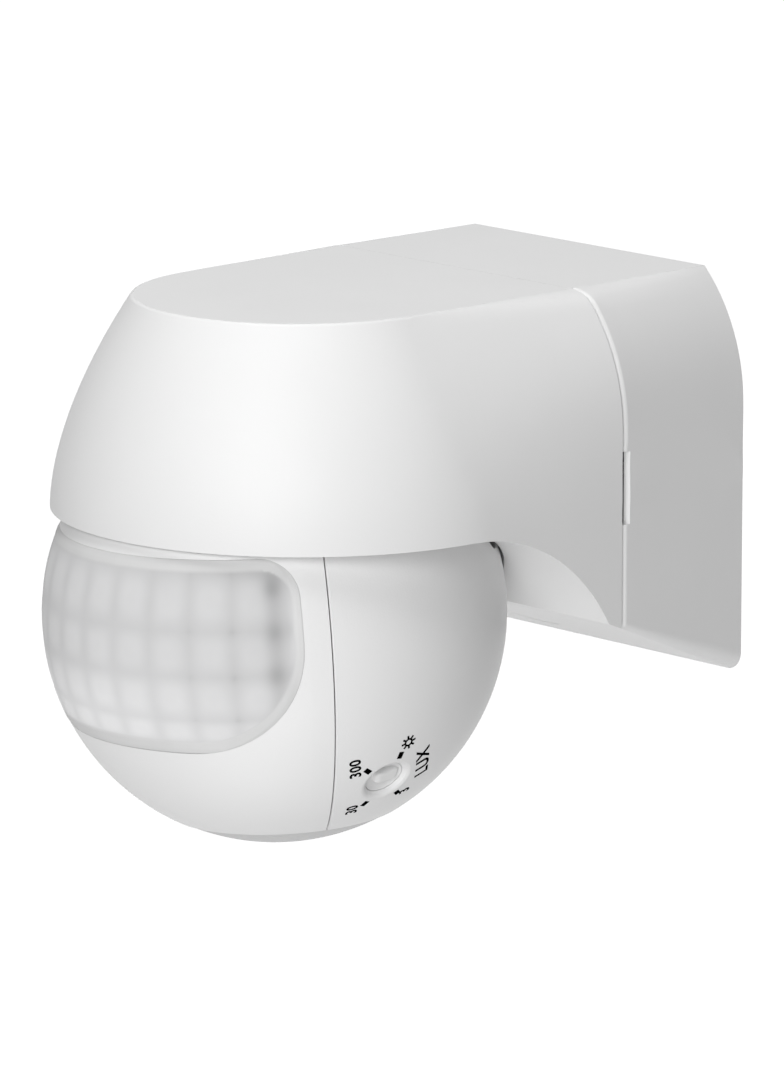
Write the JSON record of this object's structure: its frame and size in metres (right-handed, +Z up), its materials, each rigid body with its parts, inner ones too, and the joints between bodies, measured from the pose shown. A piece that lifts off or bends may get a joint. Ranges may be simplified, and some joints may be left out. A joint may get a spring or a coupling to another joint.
{
  "type": "motion sensor",
  "caption": "Wall-mounted motion sensor: hooded housing with a ball head below it that pans and tilts, faceted wrap-round lens and two recessed setting knobs.",
  "frame": {"origin": "centre of the line between the two wall-screw holes, on the back face that meets the wall", "axes": "+X to the right when facing the sensor, +Y out of the back into the wall, +Z up"},
  "size_m": [0.0738, 0.0971, 0.0797],
  "materials": {
    "housing_white": "satin",
    "head_white": "satin",
    "cap_white": "matte",
    "inner_white": "matte",
    "lens_milky": "satin",
    "knob_white": "satin",
    "grommet_grey": "matte",
    "terminal_grey": "matte",
    "terminal_brass": "satin",
    "screw_steel": "satin",
    "board_green": "satin",
    "relay_blue": "satin",
    "capacitor_red": "gloss",
    "capacitor_sleeve": "satin",
    "component_black": "matte",
    "varistor_blue": "matte",
    "connector_cream": "matte",
    "sensor_can": "satin",
    "sensor_window": "gloss",
    "cell_cream": "gloss",
    "led_red": "gloss"
  },
  "bodies": {
    "wall_base": {"base_housing": "housing_white", "blanking_plug": "housing_white", "cable_grommet": "grommet_grey", "terminal_block": "terminal_grey", "terminal_clamps": "terminal_brass", "terminal_screws": "screw_steel", "cable_clamp": "terminal_grey", "cable_clamp_screws": "screw_steel"},
    "cover": {"hood": "housing_white", "bearing_plate": "inner_white", "bearing_screws": "screw_steel", "power_board": "board_green", "power_board_screws": "screw_steel", "relay": "relay_blue", "film_capacitor": "capacitor_red", "electrolytic_capacitor": "capacitor_sleeve", "fuse": "component_black", "varistor": "varistor_blue", "lead_connector": "connector_cream", "plug_blades": "terminal_brass"},
    "swivel": {"swivel_cup": "inner_white", "ball_retainer": "inner_white", "spring_washer": "screw_steel", "retaining_nut": "screw_steel"},
    "head": {"front_shell": "head_white", "rear_shell": "head_white", "fresnel_lens": "lens_milky", "lens_frame": "inner_white", "bottom_cap": "cap_white", "sensor_board": "board_green", "pyro_sensor": "sensor_can", "pyro_window": "sensor_window", "light_sensor": "cell_cream", "walk_test_led": "led_red", "control_chip": "component_black", "shell_screws": "screw_steel", "time_potentiometer": "component_black", "lux_potentiometer": "component_black"},
    "time_dial": {"time_knob": "knob_white"},
    "lux_dial": {"lux_knob": "knob_white"}
  },
  "joints": [
    {"name": "cover_pull", "type": "slide", "parent": "wall_base", "child": "cover", "axis": [0, -1, 0], "range_m": [0, 0.045]},
    {"name": "head_pan", "type": "hinge", "parent": "cover", "child": "swivel", "pos_m": [0, -0.0635, -0.0164], "axis": [0, 0, 1], "range_deg": [-16, 84]},
    {"name": "head_tilt", "type": "hinge", "parent": "swivel", "child": "head", "pos_m": [0, -0.0635, -0.0164], "axis": [0.829, -0.5592, 0], "range_deg": [-13, 27]},
    {"name": "lux_turn", "type": "hinge", "parent": "head", "child": "lux_dial", "pos_m": [0.02391, -0.06619, -0.03432], "axis": [0.7971, -0.0896, -0.5972], "range_deg": [-135, 135]},
    {"name": "time_turn", "type": "hinge", "parent": "head", "child": "time_dial", "pos_m": [-0.01145, -0.04234, -0.03432], "axis": [-0.3816, 0.7055, -0.5972], "range_deg": [-135, 135]}
  ]
}
